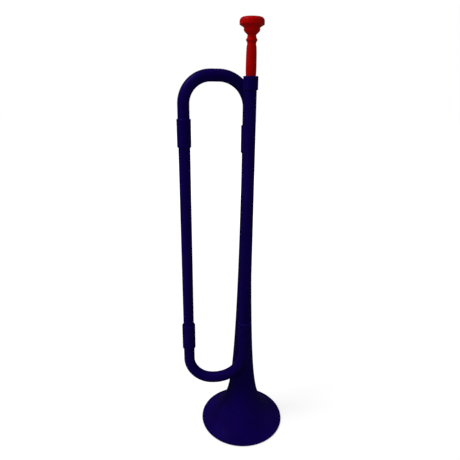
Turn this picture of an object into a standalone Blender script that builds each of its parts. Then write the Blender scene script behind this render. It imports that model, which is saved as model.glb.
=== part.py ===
"""Practice trumpet: a natural trumpet moulded in plastic, which stands on its bell.

The air goes down the leadpipe, round the bottom bow, up the return tube, round the top bow and down
through the bell. Coupling sleeves join the tubes, and the mouthpiece pulls out of its tapered socket.

Metres, +Z up. The bell's rim lies in the plane z = 0, and the origin is under the middle of the
object's box. The leadpipe is in front (-Y), the bell behind it, and the return tube at -X.
"""
import math

import bpy

MM = 0.001

# Tubing: the leadpipe, the return tube, the top bow and the top of the bell's stem share a diameter,
# and the bottom bow is a little thicker
TUBE_DIAMETER = 14.0 * MM
BOTTOM_BOW_DIAMETER = 14.7 * MM
TUBE_WALL = 1.5 * MM
GLUE_GAP = 0.2 * MM
END_GAP = 0.3 * MM

# Both bows span the loop's width. The bottom bow's centre line comes down to this height above the rim,
# and the leadpipe stands so far in front of the bell that the bow would clear the throat even there.
LOOP_WIDTH = 77.0 * MM
BOW_HEIGHT = 84.1 * MM
BOW_CLEARANCE = 0.7 * MM

# Lengths of the straight tubes, and of the bows' straight legs
LEADPIPE_LENGTH = 324.3 * MM
RETURN_TUBE_LENGTH = 271.9 * MM
TOP_BOW_LEFT_LEG = 31.5 * MM
TOP_BOW_RIGHT_LEG = 35.4 * MM
BOTTOM_BOW_LEFT_LEG = 35.4 * MM
BOTTOM_BOW_RIGHT_LEG = 25.3 * MM

# Each bow has its own two corners, and the bottom bow's right corner takes what the left one leaves
TOP_BOW_LEFT_CORNER = 32.0 * MM
TOP_BOW_RIGHT_CORNER = 35.5 * MM
BOTTOM_BOW_LEFT_CORNER = 28.1 * MM

# Coupling sleeves, each with a stop rib inside at half its length. The lower ones are wider and longer.
SLEEVE_DIAMETER = 16.8 * MM
SLEEVE_LENGTH = 33.0 * MM
LOWER_SLEEVE_DIAMETER = 17.7 * MM
LOWER_SLEEVE_LENGTH = 36.0 * MM
SLEEVE_CHAMFER = 0.7 * MM
STOP_RIB = 1.6 * MM

# Bell: a long taper and a short flare, added to the stem's radius
BELL_DIAMETER = 119.1 * MM
BELL_WALL = 1.6 * MM
STEM_STRAIGHT = 42.2 * MM
TAPER_SHARE = 0.324
TAPER_REACH = 138.0 * MM
FLARE_REACH = 20.0 * MM
RIM_BEAD_DIAMETER = 2.6 * MM
RIM_FLAT = 1.8 * MM

# Receiver: a collar over the leadpipe's end, whose lip covers the end face
COLLAR_DIAMETER = 16.8 * MM
COLLAR_LENGTH = 14.7 * MM
COLLAR_LIP = 1.2 * MM
COLLAR_CHAMFER = 0.5 * MM
LIP_CLEARANCE = 0.3 * MM

# Mouthpiece: its shank tapers 1 in 20 and seats in the leadpipe's socket
MOUTHPIECE_LENGTH = 85.7 * MM
SHANK_INSERTION = 27.2 * MM
SHANK_DIAMETER = 11.25 * MM
SHANK_TAPER = 1 / 20
SEAT_CLEARANCE = 0.1 * MM
SOCKET_RUN_OUT = 1.0 * MM
SOCKET_CONE = 4.0 * MM
RIM_DIAMETER = 26.8 * MM
RIM_SIDE_DEPTH = 7.1 * MM
RIM_CONE_DEPTH = 9.7 * MM
RIM_EDGE = 0.5 * MM
CROWN_DIAMETER = 18.8 * MM
CROWN_DROP = 3.9 * MM
BITE_DIAMETER = 16.6 * MM
BITE_DROP = 1.6 * MM
CUP_DEPTH = 13.0 * MM
CUP_BODY_DIAMETER = 17.6 * MM
CUP_BODY_END = 12.1 * MM
CUP_ROUND = 3.1 * MM
WAIST_DIAMETER = 9.2 * MM
WAIST_DEPTH = 17.4 * MM
BEAD_DIAMETER = 12.4 * MM
BEAD_FOOT_DIAMETER = 10.1 * MM
BEAD_WIDTH = 3.4 * MM
BEAD_DEPTH = 22.2 * MM
NECK_DIAMETER = 9.7 * MM
NECK_DEPTH = 26.2 * MM
BARREL_DIAMETER = 11.7 * MM
BARREL_DEPTH = 42.0 * MM
BARREL_END = 55.0 * MM
THROAT_DIAMETER = 3.7 * MM
THROAT_LENGTH = 3.0 * MM
BACKBORE_DIAMETER = 8.0 * MM

# Facets: sides round each form, and steps along the curved outlines
TUBE_SIDES = 24
BELL_SIDES = 56
MOUTHPIECE_SIDES = 36
CORNER_STEPS = 10
BELL_STEPS = 20
ROUND_STEPS = 5
MERGE = 0.01 * MM

TUBE_RADIUS = TUBE_DIAMETER / 2
BOTTOM_BOW_RADIUS = BOTTOM_BOW_DIAMETER / 2
BORE_RADIUS = TUBE_RADIUS - TUBE_WALL
SOCKET_RADIUS = TUBE_RADIUS + GLUE_GAP
SEAT = STOP_RIB / 2 + END_GAP

# Heights, piece by piece from the bottom bow up the loop and down to the bell, then up the leadpipe
BOTTOM_BOW_RIGHT_CORNER = LOOP_WIDTH - BOTTOM_BOW_LEFT_CORNER
LOWER_LEFT_SLEEVE_MID = BOW_HEIGHT + BOTTOM_BOW_LEFT_CORNER + BOTTOM_BOW_LEFT_LEG + SEAT
RETURN_TUBE_Z = LOWER_LEFT_SLEEVE_MID + SEAT
UPPER_LEFT_SLEEVE_MID = RETURN_TUBE_Z + RETURN_TUBE_LENGTH + SEAT
TOP_BOW_Z = UPPER_LEFT_SLEEVE_MID + SEAT + TOP_BOW_LEFT_LEG + TOP_BOW_LEFT_CORNER
UPPER_RIGHT_SLEEVE_MID = TOP_BOW_Z - TOP_BOW_RIGHT_CORNER - TOP_BOW_RIGHT_LEG - SEAT
BELL_LENGTH = UPPER_RIGHT_SLEEVE_MID - SEAT
LOWER_RIGHT_SLEEVE_MID = BOW_HEIGHT + BOTTOM_BOW_RIGHT_CORNER + BOTTOM_BOW_RIGHT_LEG + SEAT
LEADPIPE_Z = LOWER_RIGHT_SLEEVE_MID + SEAT
RECEIVER_Z = LEADPIPE_Z + LEADPIPE_LENGTH + END_GAP + COLLAR_LIP


def bell_radius(height):
    """The skin's outer radius at a height above the bead's middle: long taper plus short flare."""
    reach = BELL_LENGTH - STEM_STRAIGHT
    foot = math.exp(-reach / TAPER_REACH)
    taper = (math.exp(-height / TAPER_REACH) - foot) / (1.0 - foot)
    flare = math.exp(-height / FLARE_REACH)
    spread = (BELL_DIAMETER - RIM_BEAD_DIAMETER) / 2 - TUBE_RADIUS
    return TUBE_RADIUS + spread * (TAPER_SHARE * taper + (1.0 - TAPER_SHARE) * flare)


# Plan places of the three upright axes, with the object's box centred on the origin
STEM_SPACING = bell_radius(BOW_HEIGHT) + BOW_CLEARANCE + BOTTOM_BOW_RADIUS
LOOP_REACH_X = math.sqrt(LOOP_WIDTH ** 2 - (STEM_SPACING / 2) ** 2)
BELL_X = (LOOP_REACH_X + max(SLEEVE_DIAMETER, LOWER_SLEEVE_DIAMETER) / 2 - BELL_DIAMETER / 2) / 2
BELL_AXIS = (BELL_X, 0.0)
LEAD_AXIS = (BELL_X, -STEM_SPACING)
RETURN_AXIS = (BELL_X - LOOP_REACH_X, -STEM_SPACING / 2)


def clear_scene():
    for old in list(bpy.data.objects):
        bpy.data.objects.remove(old, do_unlink=True)


def make_collection(name):
    collection = bpy.data.collections.new(name)
    bpy.context.scene.collection.children.link(collection)
    return collection


def plastic(name, color, roughness):
    material = bpy.data.materials.new(name)
    material.use_nodes = True
    shader = material.node_tree.nodes["Principled BSDF"]
    shader.inputs["Base Color"].default_value = (*color, 1.0)
    shader.inputs["Metallic"].default_value = 0.0
    shader.inputs["Roughness"].default_value = roughness
    return material


def empty(collection, name, location, parent=None):
    marker = bpy.data.objects.new(name, None)
    marker.empty_display_size = 10 * MM
    marker.location = location
    marker.parent = parent
    collection.objects.link(marker)
    return marker


def arc(center, radii, start, end, steps=ROUND_STEPS):
    """Points on an ellipse's arc, from one angle in degrees to another, both ends included."""
    angles = [math.radians(start + (end - start) * i / steps) for i in range(steps + 1)]
    return [(center[0] + radii[0] * math.cos(a), center[1] + radii[1] * math.sin(a)) for a in angles]


def turned(parent, name, outline, sides, material, height=0.0):
    """A closed outline of (radius, z) points, outer side first and downwards, turned round Z."""
    mesh = bpy.data.meshes.new(name)
    edges = [(i, (i + 1) % len(outline)) for i in range(len(outline))]
    mesh.from_pydata([(r, 0.0, z) for r, z in outline], edges, [])
    mesh.materials.append(material)
    piece = bpy.data.objects.new(name, mesh)
    piece.parent = parent
    piece.location = (0.0, 0.0, height)
    parent.users_collection[0].objects.link(piece)
    screw = piece.modifiers.new("turn", "SCREW")
    screw.axis = "Z"
    screw.angle = math.tau
    screw.steps = sides
    screw.render_steps = sides
    screw.use_merge_vertices = True
    screw.merge_threshold = MERGE
    screw.use_smooth_shade = True
    return piece


def sleeve_outline(outer, half, lower_socket):
    """A sleeve's section about its middle, with the stop rib. Its upper socket holds a straight tube."""
    rib = STOP_RIB / 2
    return [
        (outer - SLEEVE_CHAMFER, half),
        (outer, half - SLEEVE_CHAMFER),
        (outer, SLEEVE_CHAMFER - half),
        (outer - SLEEVE_CHAMFER, -half),
        (lower_socket, -half),
        (lower_socket, -rib),
        (BORE_RADIUS, -rib),
        (BORE_RADIUS, rib),
        (SOCKET_RADIUS, rib),
        (SOCKET_RADIUS, half),
    ]


def upper_sleeve(parent, name, middle, material):
    """A coupling sleeve round two tube ends of one size, which meet its stop rib."""
    outline = sleeve_outline(SLEEVE_DIAMETER / 2, SLEEVE_LENGTH / 2, SOCKET_RADIUS)
    return turned(parent, name, outline, TUBE_SIDES, material, middle)


def lower_sleeve(parent, name, middle, material):
    """A coupling sleeve from a straight tube down to the thicker bottom bow."""
    bow_socket = BOTTOM_BOW_RADIUS + GLUE_GAP
    outline = sleeve_outline(LOWER_SLEEVE_DIAMETER / 2, LOWER_SLEEVE_LENGTH / 2, bow_socket)
    return turned(parent, name, outline, TUBE_SIDES, material, middle)


def return_tube(parent, material):
    outline = [
        (TUBE_RADIUS, RETURN_TUBE_LENGTH),
        (TUBE_RADIUS, 0.0),
        (BORE_RADIUS, 0.0),
        (BORE_RADIUS, RETURN_TUBE_LENGTH),
    ]
    return turned(parent, "return_tube", outline, TUBE_SIDES, material, RETURN_TUBE_Z)


def shank_radius(depth):
    """The shank's radius at a depth below the receiver's face."""
    return SHANK_DIAMETER / 2 - depth * SHANK_TAPER / 2


def leadpipe(parent, material):
    """The tube with the shank's tapered socket in its top end."""
    top = LEADPIPE_LENGTH
    face_depth = COLLAR_LIP + END_GAP
    socket_depth = SHANK_INSERTION + SOCKET_RUN_OUT
    socket_end = top + face_depth - socket_depth
    outline = [
        (TUBE_RADIUS, top),
        (TUBE_RADIUS, 0.0),
        (BORE_RADIUS, 0.0),
        (BORE_RADIUS, socket_end - SOCKET_CONE),
        (shank_radius(socket_depth) + SEAT_CLEARANCE, socket_end),
        (shank_radius(face_depth) + SEAT_CLEARANCE, top),
    ]
    return turned(parent, "leadpipe", outline, MOUTHPIECE_SIDES, material, LEADPIPE_Z)


def receiver_collar(parent, material):
    """The collar round the leadpipe's end. Its own z = 0 is the receiver's face."""
    outer = COLLAR_DIAMETER / 2
    hole = shank_radius(0.0) + LIP_CLEARANCE
    outline = [
        (outer - COLLAR_CHAMFER, 0.0),
        (outer, -COLLAR_CHAMFER),
        (outer, COLLAR_CHAMFER - COLLAR_LENGTH),
        (outer - COLLAR_CHAMFER, -COLLAR_LENGTH),
        (SOCKET_RADIUS, -COLLAR_LENGTH),
        (SOCKET_RADIUS, -COLLAR_LIP),
        (hole, -COLLAR_LIP),
        (hole, 0.0),
    ]
    return turned(parent, "receiver_collar", outline, MOUTHPIECE_SIDES, material, RECEIVER_Z)


def bow(parent, name, radius, corners, legs, side, axes, apex_z, material):
    """A hollow bow from its left axis to its right one, arched up (side 1) or down (side -1)."""
    (left_x, left_y), (right_x, right_y) = axes
    left, right = corners
    points = [(0.0, -side * (left + legs[0]))]
    points += arc((left, -side * left), (left, side * left), 180.0, 90.0, CORNER_STEPS)
    start = 1 if left + right >= LOOP_WIDTH - MERGE else 0
    points += arc((LOOP_WIDTH - right, -side * right), (right, side * right), 90.0, 0.0, CORNER_STEPS)[start:]
    points += [(LOOP_WIDTH, -side * (right + legs[1]))]
    curve = bpy.data.curves.new(name, "CURVE")
    curve.dimensions = "3D"
    curve.bevel_depth = radius
    curve.bevel_resolution = TUBE_SIDES // 2 - 2
    spline = curve.splines.new("POLY")
    spline.points.add(len(points) - 1)
    for point, (x, z) in zip(spline.points, points):
        point.co = (x, 0.0, z, 1.0)
    curve.materials.append(material)
    piece = bpy.data.objects.new(name, curve)
    piece.parent = parent
    piece.location = (left_x, left_y, apex_z)
    piece.rotation_euler = (0.0, 0.0, math.atan2(right_y - left_y, right_x - left_x))
    parent.users_collection[0].objects.link(piece)
    wall = piece.modifiers.new("wall", "SOLIDIFY")
    wall.thickness = TUBE_WALL
    wall.offset = -1.0
    wall.use_even_offset = True
    return piece


def bell(parent, material):
    """The stem, the flare and the beaded rim, whose underside is the flat that the object stands on."""
    bead = RIM_BEAD_DIAMETER / 2
    bead_radius = BELL_DIAMETER / 2 - bead
    skin_base = bead + BELL_WALL / 2
    straight_z = BELL_LENGTH - STEM_STRAIGHT
    start = BELL_WALL / 2
    outer = []
    inner = []
    for i in range(BELL_STEPS + 1):
        height = start + (straight_z - skin_base - start) * (i / BELL_STEPS) ** 2
        radius = bell_radius(height)
        slope = (bell_radius(height + MERGE) - radius) / MERGE
        length = math.hypot(1.0, slope)
        wall = BELL_WALL + (TUBE_WALL - BELL_WALL) * i / BELL_STEPS
        outer.append((radius, skin_base + height))
        inner.append((radius - wall / length, skin_base + height + wall * slope / length))
    outline = [(TUBE_RADIUS, BELL_LENGTH)] + outer[::-1]
    outline += arc((bead_radius, bead), (bead, bead), 115.0, -90.0, 2 * ROUND_STEPS)
    outline += [(bead_radius - RIM_FLAT, 0.0)]
    outline += inner + [(BORE_RADIUS, BELL_LENGTH)]
    return turned(parent, "bell", outline, BELL_SIDES, material)


def mouthpiece_outside():
    """The rim, cup body, waist, bead, neck, barrel and shank, from the crown down. Depths are from it."""
    rim = RIM_DIAMETER / 2
    crown = CROWN_DIAMETER / 2
    body = CUP_BODY_DIAMETER / 2
    waist = WAIST_DIAMETER / 2
    foot = BEAD_FOOT_DIAMETER / 2
    neck = NECK_DIAMETER / 2
    barrel = BARREL_DIAMETER / 2
    points = arc((crown, -CROWN_DROP), (rim - crown, CROWN_DROP), 90.0, 0.0)
    points += [(rim, -RIM_SIDE_DEPTH), (rim - RIM_EDGE, -RIM_SIDE_DEPTH - RIM_EDGE)]
    points += [(body + RIM_EDGE, -RIM_CONE_DEPTH), (body, -RIM_CONE_DEPTH - RIM_EDGE)]
    points += arc((body - CUP_ROUND, -CUP_BODY_END), (CUP_ROUND, CUP_ROUND), 0.0, -60.0)
    points += [(waist, -WAIST_DEPTH)]
    bead_rise = BEAD_DIAMETER / 2 - foot
    points += arc((foot, -BEAD_DEPTH), (bead_rise, BEAD_WIDTH / 2), 80.0, -80.0, 2 * ROUND_STEPS)
    points += [(neck, -NECK_DEPTH)]
    points += arc((neck, -BARREL_DEPTH), (barrel - neck, BARREL_DEPTH - NECK_DEPTH), 60.0, 0.0, 4)
    points += [(barrel, -BARREL_END)]
    return points


def mouthpiece_inside(end_depth):
    """The backbore, throat and cup, from the shank's end up."""
    throat = THROAT_DIAMETER / 2
    bite = BITE_DIAMETER / 2
    crown = CROWN_DIAMETER / 2
    points = [(BACKBORE_DIAMETER / 2, -end_depth)]
    points += [(throat, -CUP_DEPTH - THROAT_LENGTH), (throat, -CUP_DEPTH)]
    points += arc((throat, -BITE_DROP), (bite - throat, CUP_DEPTH - BITE_DROP), -75.0, 0.0)
    points += arc((crown, -BITE_DROP), (crown - bite, BITE_DROP), 180.0, 90.0)[1:-1]
    return points


def mouthpiece(parent, material):
    """The mouthpiece at rest in its socket. Its origin is on its axis, at the receiver's face."""
    outline = mouthpiece_outside()
    outline += [(shank_radius(0.0), SHANK_INSERTION - MOUTHPIECE_LENGTH)]
    outline += [(shank_radius(SHANK_INSERTION), -MOUTHPIECE_LENGTH)]
    outline += mouthpiece_inside(MOUTHPIECE_LENGTH)
    crown_z = MOUTHPIECE_LENGTH - SHANK_INSERTION
    outline = [(r, z + crown_z) for r, z in outline]
    return turned(parent, "mouthpiece", outline, MOUTHPIECE_SIDES, material)


def build():
    clear_scene()
    collection = make_collection("practice_trumpet")
    blue = plastic("blue_plastic", (0.007, 0.003, 0.045), 0.32)
    red = plastic("red_plastic", (0.28, 0.004, 0.005), 0.34)

    root = empty(collection, "trumpet_origin", (0.0, 0.0, 0.0))
    bell_axis = empty(collection, "bell_axis", (*BELL_AXIS, 0.0), root)
    lead_axis = empty(collection, "lead_axis", (*LEAD_AXIS, 0.0), root)
    return_axis = empty(collection, "return_axis", (*RETURN_AXIS, 0.0), root)
    receiver = empty(collection, "mouthpiece_pull_axis", (0.0, 0.0, RECEIVER_Z), lead_axis)

    bell(bell_axis, blue)
    upper_sleeve(bell_axis, "upper_right_sleeve", UPPER_RIGHT_SLEEVE_MID, blue)
    bow(root, "top_bow", TUBE_RADIUS, (TOP_BOW_LEFT_CORNER, TOP_BOW_RIGHT_CORNER),
        (TOP_BOW_LEFT_LEG, TOP_BOW_RIGHT_LEG), 1, (RETURN_AXIS, BELL_AXIS), TOP_BOW_Z, blue)
    upper_sleeve(return_axis, "upper_left_sleeve", UPPER_LEFT_SLEEVE_MID, blue)
    return_tube(return_axis, blue)
    lower_sleeve(return_axis, "lower_left_sleeve", LOWER_LEFT_SLEEVE_MID, blue)
    bow(root, "bottom_bow", BOTTOM_BOW_RADIUS, (BOTTOM_BOW_LEFT_CORNER, BOTTOM_BOW_RIGHT_CORNER),
        (BOTTOM_BOW_LEFT_LEG, BOTTOM_BOW_RIGHT_LEG), -1, (RETURN_AXIS, LEAD_AXIS), BOW_HEIGHT, blue)
    lower_sleeve(lead_axis, "lower_right_sleeve", LOWER_RIGHT_SLEEVE_MID, blue)
    leadpipe(lead_axis, blue)
    receiver_collar(lead_axis, blue)
    mouthpiece(receiver, red)


build()
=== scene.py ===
"""Looks of the practice trumpet: satin dark blue plastic tubing, a red mouthpiece, and soft studio light.

Each CAD piece is replaced by a finer one of the same size. The turned pieces read their outlines from the
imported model, so their shapes stay the model's own, and the bows follow the places of the tubes they join.
"""
import math

import bpy
from mathutils import Matrix, Vector


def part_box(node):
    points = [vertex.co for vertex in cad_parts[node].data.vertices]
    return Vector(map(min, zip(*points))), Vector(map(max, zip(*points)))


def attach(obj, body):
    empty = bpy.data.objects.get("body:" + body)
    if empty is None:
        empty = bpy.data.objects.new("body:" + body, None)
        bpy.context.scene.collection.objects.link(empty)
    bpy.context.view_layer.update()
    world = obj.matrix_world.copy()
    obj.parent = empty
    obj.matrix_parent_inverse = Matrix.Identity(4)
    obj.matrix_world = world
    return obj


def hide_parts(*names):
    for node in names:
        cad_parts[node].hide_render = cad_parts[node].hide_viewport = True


MM = 0.001

# Camera, fitted to the outline in the 460 pixel photograph
IMAGE_SIZE = 460
SENSOR = 36.0
FOCAL_PIXELS = 414.7
PITCH_DOWN = 18.655
TURN_LEFT = -1.771
ROLL = 0.608
CAMERA_PLACE = (-23.55 * MM, -510.3 * MM, 471.5 * MM)
CLIP_START = 10.0 * MM

# Tubing: the bows' own sizes, which the model's boxes don't give
TUBE_RADIUS = 7.0 * MM
BOTTOM_BOW_RADIUS = 7.35 * MM
TUBE_WALL = 1.5 * MM
TUBE_END_SPACE = 2.2 * MM
TOP_BOW_CORNERS = (32.0 * MM, 35.5 * MM)
BOTTOM_BOW_LEFT_CORNER = 28.1 * MM

# The sleeves, each with the radius of the tube that leaves it below
SLEEVES = (("upper_left_sleeve", TUBE_RADIUS), ("upper_right_sleeve", TUBE_RADIUS),
           ("lower_left_sleeve", BOTTOM_BOW_RADIUS), ("lower_right_sleeve", BOTTOM_BOW_RADIUS))

# Moulding details: rounded edges and parting lines
EDGE_ROUND = 0.22 * MM
SEAM_WIDTH = 0.5 * MM
SEAM_HEIGHT = 0.06 * MM
SEAM_FADE = (40.0 * MM, 52.0 * MM)

# The glue's fillet at each sleeve end: its size, and how far it goes into the tube, gap and face
GLUE_RISE = 0.45 * MM
GLUE_SINK = 0.05 * MM
GLUE_FOOT = 0.2 * MM
GLUE_SKIN = 0.02 * MM
GLUE_STEPS = 5

# Facets round each form, by size, and along a bow, whose rings lie no nearer together than the least step
TUBE_SIDES = 48
CUP_SIDES = 96
BELL_SIDES = 144
BOW_STEP = math.radians(2.5)
LEAST_STEP = 0.22 * MM

# Outlines: how near the cutting plane a corner lies, and how fine the gentle curves are drawn. A turn above
# the corner angle is a real corner, which is rounded in a small arc, over no more than this share of an edge.
# An edge much shorter than its neighbour says nothing of the neighbour's curve.
PLANE_SLACK = 0.02 * MM
OUTLINE_STEP = 1.2 * MM
MOST_PARTS = 8
CORNER_ANGLE = math.radians(28.0)
ARC_STEPS = 4
ROUNDED_SHARE = 0.4
ALIKE_SHARE = 0.2

# Edge wear: an outline that turns by a radian within this run is fully worn there, and no run counts as less
# than the least one
WEAR_REACH = 0.45 * MM
LEAST_RUN = 0.0001 * MM

# Colours, roughness and gloss
WHITE = (1.0, 1.0, 1.0, 1.0)
BLUE = (0.0032, 0.0002, 0.046)
BLUE_LIGHT = (0.0050, 0.0004, 0.071)
BLUE_SCUFF = (0.017, 0.010, 0.112)
RED = (0.303, 0.0006, 0.0008)
RED_LIGHT = (0.413, 0.0012, 0.0014)
RED_SCUFF = (0.44, 0.010, 0.010)
BLUE_ROUGHNESS = 0.42
RED_ROUGHNESS = 0.40
GLUE_ROUGHNESS = 0.34
BLUE_GLINT = (0.08, 0.05, 0.60)
RED_GLINT = (0.85, 0.08, 0.09)
PLASTIC_IOR = 1.49
SPECULAR_LEVEL = 0.07
GLOSS_SPREAD = (-0.06, 0.08)

# Noises in the plastic, each as its stretch along X, Y and Z, its scale and its detail, with the range of its
# values that is used
NOISE_ROUGHNESS = 0.6
EVEN = (1.0, 1.0, 1.0)
CLOUDS = ((1.0, 1.0, 0.35), 26.0, 4.0)
CLOUD_RANGE = (0.36, 0.68)
PATCHES = (EVEN, 140.0, 3.0)
PATCH_RANGE = (0.42, 0.62)
LEAST_PATCH = 0.15
SMUDGES = ((1.0, 1.0, 0.6), 55.0, 5.0)
SMUDGE_RANGE = (0.3, 0.7)
GRAIN = (EVEN, 1100.0, 2.0)
GRAIN_STRENGTH = 0.10
GRAIN_HEIGHT = 0.06 * MM

# Wear: how much of the scuffed colour shows on edges and in scratches, and how the scratches lean and stretch
RUBBED_SHARE = 0.55
SCRATCH_SHARE = 0.55
SCRATCH_RANGE = (0.63, 0.72)
SCRATCH_SCALE = 1500.0
SCRATCH_DETAIL = 2.0
SCRATCHES = ((0.15, (1.0, 1.0, 0.03)), (-0.9, (1.0, 0.6, 0.04)), (1.35, (1.0, 0.6, 0.05)))
SCRATCH_STRENGTH = 0.15
SCRATCH_DEPTH = 0.05 * MM

# Floor
FLOOR_HALF = 6.0
FLOOR_DROP = 0.4 * MM
FLOOR_GREY = 0.36
FLOOR_ROUGHNESS = 0.9
FLOOR_SPECULAR = 0.1

# Light from all round: what fills the shadows, what the surfaces reflect, and what the camera sees
AMBIENT = 0.50
AMBIENT_REFLECTED = 0.03
BACKGROUND_SEEN = 1.0

# What the floor adds of its own to the camera's view, near the object and far from the lamps, so that it
# shows white where nothing shades it, and the distances from the middle between which this changes
FLOOR_LIFT_NEAR = 0.70
FLOOR_LIFT_FAR = 1.0
FLOOR_LIFT_RANGE = (0.5, 1.7)

# Lamps: name, place, size, power, and whether surfaces reflect it
LAMP_AIM = (0.0, 0.0, 0.25)
LAMPS = (("key_light", (-1.98, -0.63, 3.0), (1.26, 1.26), 68.0, True),
         ("fill_light", (-1.3, -1.3, 0.8), (0.9, 0.9), 3.2, True),
         ("back_light", (0.5, 1.7, 0.9), (1.2, 0.8), 8.0, False))


def make_camera():
    data = bpy.data.cameras.new("photo_camera")
    data.sensor_width = SENSOR
    data.lens = FOCAL_PIXELS * SENSOR / IMAGE_SIZE
    data.clip_start = CLIP_START
    camera = bpy.data.objects.new("photo_camera", data)
    pitch = math.radians(PITCH_DOWN)
    turn = math.radians(TURN_LEFT)
    level = Vector((-math.sin(turn), math.cos(turn), 0.0))
    forward = level * math.cos(pitch) + Vector((0.0, 0.0, -math.sin(pitch)))
    right = Vector((math.cos(turn), math.sin(turn), 0.0))
    up = right.cross(forward)
    axes = Matrix((right, up, -forward)).transposed().to_4x4()
    roll = Matrix.Rotation(math.radians(ROLL), 4, "Z")
    camera.matrix_world = Matrix.Translation(CAMERA_PLACE) @ axes @ roll
    bpy.context.scene.collection.objects.link(camera)
    bpy.context.scene.camera = camera


# Outlines

def model_outline(cad, axis):
    """The closed outline of a turned CAD piece, as (radius, z), read where its mesh meets the plane at +X."""
    mesh = cad.data
    found = {}
    places = {}
    for v in mesh.vertices:
        radius = v.co.x - axis[0]
        if abs(v.co.y - axis[1]) < PLANE_SLACK and radius > 0:
            key = (round(radius / PLANE_SLACK), round(v.co.z / PLANE_SLACK))
            places[key] = (radius, v.co.z)
            found[v.index] = key
    links = {key: set() for key in places}
    for edge in mesh.edges:
        a, b = (found.get(i) for i in edge.vertices)
        if a is not None and b is not None and a != b:
            links[a].add(b)
            links[b].add(a)
    start = max(places, key=lambda key: (places[key][0], places[key][1]))
    path = [start]
    following = min(links[start], key=lambda key: places[key][1])
    while following != start:
        path.append(following)
        following = next(key for key in links[following] if key != path[-2])
    return [places[key] for key in path]


def turn_at(points, i):
    """How far the closed outline turns at a point: positive is clockwise, which is convex here."""
    ax, az = points[i - 1]
    bx, bz = points[i]
    cx, cz = points[(i + 1) % len(points)]
    back = math.atan2(bz - az, bx - ax)
    ahead = math.atan2(cz - bz, cx - bx)
    return -((ahead - back + math.pi) % math.tau - math.pi)


def span(a, b):
    return math.hypot(b[0] - a[0], b[1] - a[1])


def mixed(a, b, t):
    return (a[0] + (b[0] - a[0]) * t, a[1] + (b[1] - a[1]) * t)


def rounded(points, width):
    """The outline with each sharp corner cut back and turned in a small arc."""
    made = []
    count = len(points)
    for i, corner in enumerate(points):
        before = points[i - 1]
        after = points[(i + 1) % count]
        if abs(turn_at(points, i)) < CORNER_ANGLE:
            made.append(corner)
            continue
        start = mixed(corner, before, min(width / span(corner, before), ROUNDED_SHARE))
        end = mixed(corner, after, min(width / span(corner, after), ROUNDED_SHARE))
        for k in range(ARC_STEPS + 1):
            t = k / ARC_STEPS
            made.append(mixed(mixed(start, corner, t), mixed(corner, end, t), t))
    return made


def smoothed(points, step):
    """The outline with its gentle curves drawn finer, and its straight runs left straight.

    Each edge takes its share of the turn at its two ends, and swells by a cubic of those two angles.
    """
    count = len(points)
    made = []
    for i in range(count):
        a = points[i]
        b = points[(i + 1) % count]
        length = span(a, b)
        made.append(a)
        parts = min(MOST_PARTS, int(length / step))
        bend_a = turn_at(points, i)
        bend_b = turn_at(points, (i + 1) % count)
        if parts < 2 or max(abs(bend_a), abs(bend_b)) > CORNER_ANGLE:
            continue
        shares = []
        for bend, end, beyond in ((bend_a, a, points[i - 1]), (bend_b, b, points[(i + 2) % count])):
            other = span(end, beyond)
            alike = other / length > ALIKE_SHARE
            shares.append(bend * length / (length + other) if alike else 0.0)
        normal = (-(b[1] - a[1]) / length, (b[0] - a[0]) / length)
        for k in range(1, parts):
            t = k / parts
            swell = length * (shares[0] * t * (1 - t) ** 2 + shares[1] * t * t * (1 - t))
            x, z = mixed(a, b, t)
            made.append((x + normal[0] * swell, z + normal[1] * swell))
    return made


def worn(points):
    """How exposed each point of the outline is: 1 on a sharp convex edge, 0 on flats and in hollows."""
    weights = []
    for i in range(len(points)):
        run = (span(points[i - 1], points[i]) + span(points[i], points[(i + 1) % len(points)])) / 2
        weights.append(min(1.0, max(0.0, turn_at(points, i) * WEAR_REACH / max(run, LEAST_RUN))))
    return weights


# Meshes

def round_angles(radius, sides, seamed):
    """Angles round a section, with a raised line and its two feet at 0 and at a half turn if it has seams."""
    if not seamed:
        return [(math.tau * k / sides, False) for k in range(sides)]
    foot = SEAM_WIDTH / 2 / radius
    half = sides // 2
    made = []
    for side in (0.0, math.pi):
        made.append((side, True))
        for k in range(half + 1):
            made.append((side + foot + (math.pi - 2 * foot) * k / half, False))
    return made


def loop_faces(count, width, base=0):
    """Faces that join rings of points, each ring to the next and the last one to the first."""
    faces = []
    for i in range(count):
        here = base + i * width
        there = base + (i + 1) % count * width
        for k in range(width):
            m = (k + 1) % width
            faces.append((here + k, there + k, there + m, here + m))
    return faces


def smooth_mesh(name, corners, faces):
    mesh = bpy.data.meshes.new(name)
    mesh.from_pydata(corners, [], faces)
    mesh.polygons.foreach_set("use_smooth", [True] * len(faces))
    mesh.update()
    return mesh


def ring_mesh(name, rings, wear):
    """A closed wall through a loop of rings, with each ring's wear kept at its points."""
    width = len(rings[0])
    corners = [point for ring in rings for point in ring]
    mesh = smooth_mesh(name, corners, loop_faces(len(rings), width))
    worn_layer = mesh.attributes.new("wear", "FLOAT", "POINT")
    worn_layer.data.foreach_set("value", [w for w in wear for _ in range(width)])
    return mesh


def add_piece(name, mesh, material, body, replaced=()):
    piece = bpy.data.objects.new(name, mesh)
    mesh.materials.append(material)
    bpy.context.scene.collection.objects.link(piece)
    normals = piece.modifiers.new("even_normals", "WEIGHTED_NORMAL")
    normals.keep_sharp = True
    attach(piece, body)
    for cad_name in replaced:
        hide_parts(cad_name)


def seam_rise(radius, outer, ridge):
    """The parting line's height, which fades out towards the bell's rim."""
    if not (outer and ridge):
        return 0.0
    start, end = SEAM_FADE
    fade = min(1.0, max(0.0, (end - radius) / (end - start)))
    return SEAM_HEIGHT * fade


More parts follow.
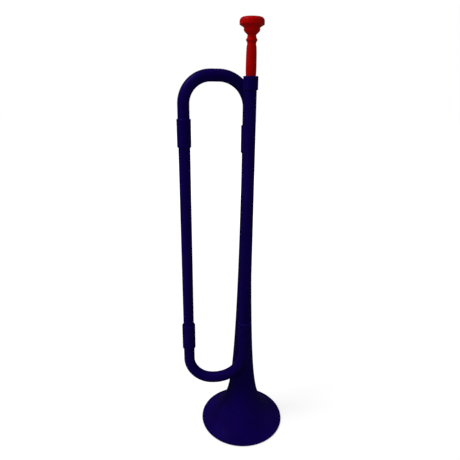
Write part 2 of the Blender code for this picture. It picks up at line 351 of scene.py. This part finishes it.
def turned_rings(outline, axis, sides, seamed):
    """Rings of points round an axis, with the parting line's ridge where the outline runs down outside."""
    rings = []
    count = len(outline)
    for i, (radius, z) in enumerate(outline):
        below = outline[(i + 1) % count][1] < outline[i - 1][1]
        ring = []
        for angle, ridge in round_angles(radius, sides, seamed):
            r = radius + seam_rise(radius, below, ridge)
            ring.append((axis[0] + r * math.cos(angle), axis[1] + r * math.sin(angle), z))
        rings.append(ring)
    return rings


def axis_of(name):
    low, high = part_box(name)
    return ((low.x + high.x) / 2, (low.y + high.y) / 2)


def turned_piece(cad_name, sides, material, seamed=False, body="horn"):
    """A finer copy of a turned CAD piece, with rounded edges and smooth curves."""
    name = "v_" + cad_name
    axis = axis_of(cad_name)
    outline = smoothed(rounded(model_outline(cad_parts[cad_name], axis), EDGE_ROUND), OUTLINE_STEP)
    rings = turned_rings(outline, axis, sides, seamed)
    mesh = ring_mesh(name, rings, worn(outline))
    add_piece(name, mesh, material, body, [cad_name])


def bow_path(width, corners, ends, apex, side):
    """(across, z, direction) along a bow's centre line, from its left end to its right one.

    The side is 1 for a bow that closes the tubes above, and -1 for one that closes them below.
    """
    left, right = corners
    path = [(0.0, ends[0], math.pi / 2 * side)]
    steps = round(math.pi / 2 / BOW_STEP)
    for centre, radius, start in ((left, left, math.pi), (width - right, right, math.pi / 2)):
        for k in range(steps + 1):
            angle = start - math.pi / 2 * k / steps
            across = centre + radius * math.cos(angle)
            z = apex - side * radius + side * radius * math.sin(angle)
            path.append((across, z, (angle - math.pi / 2) * side))
    path.append((width, ends[1], -math.pi / 2 * side))
    kept = [path[0]]
    for point in path[1:]:
        if span(point, kept[-1]) > LEAST_STEP:
            kept.append(point)
    return kept


def bow_piece(cad_name, axes, outer_radius, corners, ends, side, material):
    """A bow as one tube with its wall, whose parting lines follow its inner and outer curves."""
    name = "v_" + cad_name
    start, stop = (Vector((*axis, 0.0)) for axis in axes)
    across_way = stop - start
    width = across_way.length
    across_way.normalize()
    upward = Vector((0.0, 0.0, 1.0))
    level = across_way.cross(upward)
    low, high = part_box(cad_name)
    apex = high.z - outer_radius if side > 0 else low.z + outer_radius
    path = bow_path(width, corners, ends, apex, side)
    rings = []
    for radius, points in ((outer_radius, path), (outer_radius - TUBE_WALL, path[::-1])):
        for across, z, direction in points:
            centre = start + across_way * across + upward * z
            outward = across_way * -math.sin(direction) * side + upward * math.cos(direction) * side
            ring = []
            for angle, ridge in round_angles(radius, TUBE_SIDES, True):
                r = radius + seam_rise(radius, radius == outer_radius, ridge)
                ring.append(centre + outward * (r * math.cos(angle)) + level * (r * math.sin(angle)))
            rings.append(ring)
    mesh = ring_mesh(name, rings, [0.0] * len(rings))
    add_piece(name, mesh, material, "horn", [cad_name])


def glue_outline(face_z, side, tube):
    """The fillet's closed section, as (radius, z), above a sleeve's face (side 1) or below it (side -1)."""
    inner = tube - GLUE_SINK
    outline = [(inner, face_z - side * GLUE_FOOT), (tube + GLUE_RISE, face_z - side * GLUE_SKIN)]
    for k in range(1, GLUE_STEPS):
        angle = math.pi / 2 * k / GLUE_STEPS
        radius = tube + GLUE_RISE * (1 - math.sin(angle))
        outline.append((radius, face_z + side * GLUE_RISE * (1 - math.cos(angle))))
    outline.append((inner, face_z + side * GLUE_RISE))
    return outline[::-1] if side > 0 else outline


def glue_fillets(material):
    """The thin concave ring of glue where a tube enters each sleeve, and under the collar."""
    joints = []
    for name, below in SLEEVES:
        low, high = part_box(name)
        joints.append((axis_of(name), high.z, 1, TUBE_RADIUS))
        joints.append((axis_of(name), low.z, -1, below))
    joints.append((axis_of("receiver_collar"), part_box("receiver_collar")[0].z, -1, TUBE_RADIUS))
    corners = []
    faces = []
    for axis, face_z, side, tube in joints:
        profile = glue_outline(face_z, side, tube)
        base = len(corners)
        for ring in turned_rings(profile, axis, TUBE_SIDES, seamed=False):
            corners.extend(ring)
        faces += loop_faces(len(profile), TUBE_SIDES, base)
    mesh = smooth_mesh("glue_fillets", corners, faces)
    add_piece("glue_fillets", mesh, material, "horn")


# Surfaces

def node(tree, kind, **values):
    made = tree.nodes.new(kind)
    for key, value in values.items():
        if key in made.inputs:
            made.inputs[key].default_value = value
        else:
            setattr(made, key, value)
    return made


def stretched_noise(tree, place, stretch, scale, detail, tilt=0.0):
    """A noise whose spots are drawn out by unlike scales along X, Y and Z, and leant over about Y."""
    mapping = node(tree, "ShaderNodeMapping", Scale=stretch, Rotation=(0.0, tilt, 0.0))
    tree.links.new(place.outputs["Object"], mapping.inputs["Vector"])
    noise = node(tree, "ShaderNodeTexNoise", Scale=scale, Detail=detail, Roughness=NOISE_ROUGHNESS)
    tree.links.new(mapping.outputs["Vector"], noise.inputs["Vector"])
    return noise


def ranged(tree, source, span_in, low=0.0, high=1.0):
    """The source's values from one span to another, held at its ends."""
    made = node(tree, "ShaderNodeMapRange")
    for key, value in (("From Min", span_in[0]), ("From Max", span_in[1]), ("To Min", low), ("To Max", high)):
        made.inputs[key].default_value = value
    tree.links.new(source, made.inputs["Value"])
    return made.outputs["Result"]


def multiplied(tree, a, b):
    made = node(tree, "ShaderNodeMath", operation="MULTIPLY")
    for i, value in enumerate((a, b)):
        if isinstance(value, float):
            made.inputs[i].default_value = value
        else:
            tree.links.new(value, made.inputs[i])
    return made.outputs["Value"]


def blended(tree, factor, a, b):
    made = node(tree, "ShaderNodeMix", data_type="RGBA")
    tree.links.new(factor, made.inputs["Factor"])
    for socket, value in ((made.inputs["A"], a), (made.inputs["B"], b)):
        if isinstance(value, tuple):
            socket.default_value = (*value, 1.0)
        else:
            tree.links.new(value, socket)
    return made.outputs["Result"]


def worn_colour(tree, place, dark, light, scuff):
    """The clouded colour with its scuffed edges and scratches, and the share of each set of scratches."""
    clouds = stretched_noise(tree, place, *CLOUDS)
    colour = blended(tree, ranged(tree, clouds.outputs["Fac"], CLOUD_RANGE), dark, light)
    exposed = node(tree, "ShaderNodeAttribute", attribute_name="wear")
    patches = stretched_noise(tree, place, *PATCHES)
    patchy = ranged(tree, patches.outputs["Fac"], PATCH_RANGE, LEAST_PATCH)
    rubbed = multiplied(tree, exposed.outputs["Fac"], patchy)
    scratch_shares = []
    for tilt, stretch in SCRATCHES:
        lines = stretched_noise(tree, place, stretch, SCRATCH_SCALE, SCRATCH_DETAIL, tilt)
        share = ranged(tree, lines.outputs["Fac"], SCRATCH_RANGE, 0.0, SCRATCH_SHARE)
        broken = multiplied(tree, share, patchy)
        scratch_shares.append(broken)
        colour = blended(tree, broken, colour, scuff)
    return blended(tree, multiplied(tree, rubbed, RUBBED_SHARE), colour, scuff), scratch_shares


def grained_normal(tree, place, scratch_shares):
    """The surface's fine grain, with the scratches cut into it."""
    grain = stretched_noise(tree, place, *GRAIN)
    relief = node(tree, "ShaderNodeBump", Strength=GRAIN_STRENGTH, Distance=GRAIN_HEIGHT)
    tree.links.new(grain.outputs["Fac"], relief.inputs["Height"])
    normal = relief.outputs["Normal"]
    for share in scratch_shares:
        cut = node(tree, "ShaderNodeBump", Strength=SCRATCH_STRENGTH, Distance=SCRATCH_DEPTH, invert=True)
        tree.links.new(share, cut.inputs["Height"])
        tree.links.new(normal, cut.inputs["Normal"])
        normal = cut.outputs["Normal"]
    return normal


def moulded_plastic(name, dark, light, scuff, glint, roughness):
    """Satin moulded plastic: flow clouds, scuffed edges, smudged gloss, hairline scratches and grain."""
    material = bpy.data.materials.new(name)
    material.use_nodes = True
    tree = material.node_tree
    shader = tree.nodes["Principled BSDF"]
    shader.inputs["IOR"].default_value = PLASTIC_IOR
    shader.inputs["Specular IOR Level"].default_value = SPECULAR_LEVEL
    shader.inputs["Specular Tint"].default_value = (*glint, 1.0)
    place = node(tree, "ShaderNodeTexCoord")
    colour, scratch_shares = worn_colour(tree, place, dark, light, scuff)
    tree.links.new(colour, shader.inputs["Base Color"])
    smudges = stretched_noise(tree, place, *SMUDGES)
    smoothest, roughest = (roughness + step for step in GLOSS_SPREAD)
    gloss = ranged(tree, smudges.outputs["Fac"], SMUDGE_RANGE, smoothest, roughest)
    tree.links.new(gloss, shader.inputs["Roughness"])
    tree.links.new(grained_normal(tree, place, scratch_shares), shader.inputs["Normal"])
    return material


def make_floor():
    """A pale floor that shows white to the camera and keeps the object's shadow."""
    mesh = bpy.data.meshes.new("studio_floor")
    corners = [(x * FLOOR_HALF, y * FLOOR_HALF, 0.0) for x, y in ((-1, -1), (1, -1), (1, 1), (-1, 1))]
    mesh.from_pydata(corners, [], [(0, 1, 2, 3)])
    floor = bpy.data.objects.new("studio_floor", mesh)
    floor.location = (0.0, 0.0, -FLOOR_DROP)
    floor.visible_glossy = False
    bpy.context.scene.collection.objects.link(floor)
    material = bpy.data.materials.new("pale_floor")
    material.use_nodes = True
    tree = material.node_tree
    shader = tree.nodes["Principled BSDF"]
    shader.inputs["Base Color"].default_value = (FLOOR_GREY, FLOOR_GREY, FLOOR_GREY, 1.0)
    shader.inputs["Roughness"].default_value = FLOOR_ROUGHNESS
    shader.inputs["Specular IOR Level"].default_value = FLOOR_SPECULAR
    shader.inputs["Emission Color"].default_value = WHITE
    place = node(tree, "ShaderNodeTexCoord")
    distance = node(tree, "ShaderNodeVectorMath", operation="LENGTH")
    tree.links.new(place.outputs["Object"], distance.inputs[0])
    lift = ranged(tree, distance.outputs["Value"], FLOOR_LIFT_RANGE, FLOOR_LIFT_NEAR, FLOOR_LIFT_FAR)
    path = node(tree, "ShaderNodeLightPath")
    seen_lift = multiplied(tree, path.outputs["Is Camera Ray"], lift)
    tree.links.new(seen_lift, shader.inputs["Emission Strength"])
    mesh.materials.append(material)


def make_world():
    """White to the camera, a soft fill to surfaces, and dimmer in what they reflect."""
    world = bpy.data.worlds.new("studio")
    bpy.context.scene.world = world
    world.use_nodes = True
    tree = world.node_tree
    path = node(tree, "ShaderNodeLightPath")
    seen = tree.nodes["Background"]
    seen.inputs["Color"].default_value = WHITE
    seen.inputs["Strength"].default_value = AMBIENT
    last = seen.outputs["Background"]
    for ray, strength in (("Is Glossy Ray", AMBIENT_REFLECTED), ("Is Camera Ray", BACKGROUND_SEEN)):
        other = node(tree, "ShaderNodeBackground", Strength=strength)
        other.inputs["Color"].default_value = WHITE
        mix = node(tree, "ShaderNodeMixShader")
        tree.links.new(path.outputs[ray], mix.inputs["Fac"])
        tree.links.new(last, mix.inputs[1])
        tree.links.new(other.outputs["Background"], mix.inputs[2])
        last = mix.outputs["Shader"]
    tree.links.new(last, tree.nodes["World Output"].inputs["Surface"])


def area_light(name, place, size, power, glints):
    data = bpy.data.lights.new(name, "AREA")
    data.shape = "RECTANGLE"
    data.size, data.size_y = size
    data.energy = power
    lamp = bpy.data.objects.new(name, data)
    lamp.location = place
    lamp.visible_glossy = glints
    aim = Vector(LAMP_AIM) - Vector(place)
    lamp.rotation_euler = aim.to_track_quat("-Z", "Y").to_euler()
    bpy.context.scene.collection.objects.link(lamp)


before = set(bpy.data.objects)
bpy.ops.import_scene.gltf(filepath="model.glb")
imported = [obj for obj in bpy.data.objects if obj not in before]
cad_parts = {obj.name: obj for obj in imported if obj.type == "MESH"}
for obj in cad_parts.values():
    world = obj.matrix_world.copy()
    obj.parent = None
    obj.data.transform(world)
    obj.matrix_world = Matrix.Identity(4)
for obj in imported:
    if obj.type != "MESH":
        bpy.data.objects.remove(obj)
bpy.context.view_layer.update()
make_camera()

blue = moulded_plastic("blue_satin_plastic", BLUE, BLUE_LIGHT, BLUE_SCUFF, BLUE_GLINT, BLUE_ROUGHNESS)
red = moulded_plastic("red_satin_plastic", RED, RED_LIGHT, RED_SCUFF, RED_GLINT, RED_ROUGHNESS)
glue = moulded_plastic("set_glue", BLUE, BLUE_LIGHT, BLUE_SCUFF, BLUE_GLINT, GLUE_ROUGHNESS)

# The CAD pieces are hidden behind the finer ones, and take the same plastics
for cad_name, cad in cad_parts.items():
    cad.data.materials.clear()
    cad.data.materials.append(red if cad_name == "mouthpiece" else blue)

return_axis = axis_of("return_tube")
bell_axis = axis_of("bell")
lead_axis = axis_of("leadpipe")

turned_piece("bell", BELL_SIDES, blue, seamed=True)
turned_piece("return_tube", TUBE_SIDES, blue, seamed=True)
turned_piece("leadpipe", TUBE_SIDES, blue, seamed=True)
turned_piece("receiver_collar", TUBE_SIDES, blue)
turned_piece("mouthpiece", CUP_SIDES, red, body="mouthpiece")
for sleeve_name, _ in SLEEVES:
    turned_piece(sleeve_name, TUBE_SIDES, blue)

return_foot, return_top = (corner.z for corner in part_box("return_tube"))
top_ends = (return_top + TUBE_END_SPACE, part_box("bell")[1].z + TUBE_END_SPACE)
bow_piece("top_bow", (return_axis, bell_axis), TUBE_RADIUS, TOP_BOW_CORNERS, top_ends, 1, blue)
bottom_corners = (BOTTOM_BOW_LEFT_CORNER, math.dist(return_axis, lead_axis) - BOTTOM_BOW_LEFT_CORNER)
bottom_ends = (return_foot - TUBE_END_SPACE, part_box("leadpipe")[0].z - TUBE_END_SPACE)
bow_piece("bottom_bow", (return_axis, lead_axis), BOTTOM_BOW_RADIUS, bottom_corners, bottom_ends, -1, blue)
glue_fillets(glue)

make_floor()
make_world()
for lamp in LAMPS:
    area_light(*lamp)
bpy.context.scene.view_settings.view_transform = "Standard"
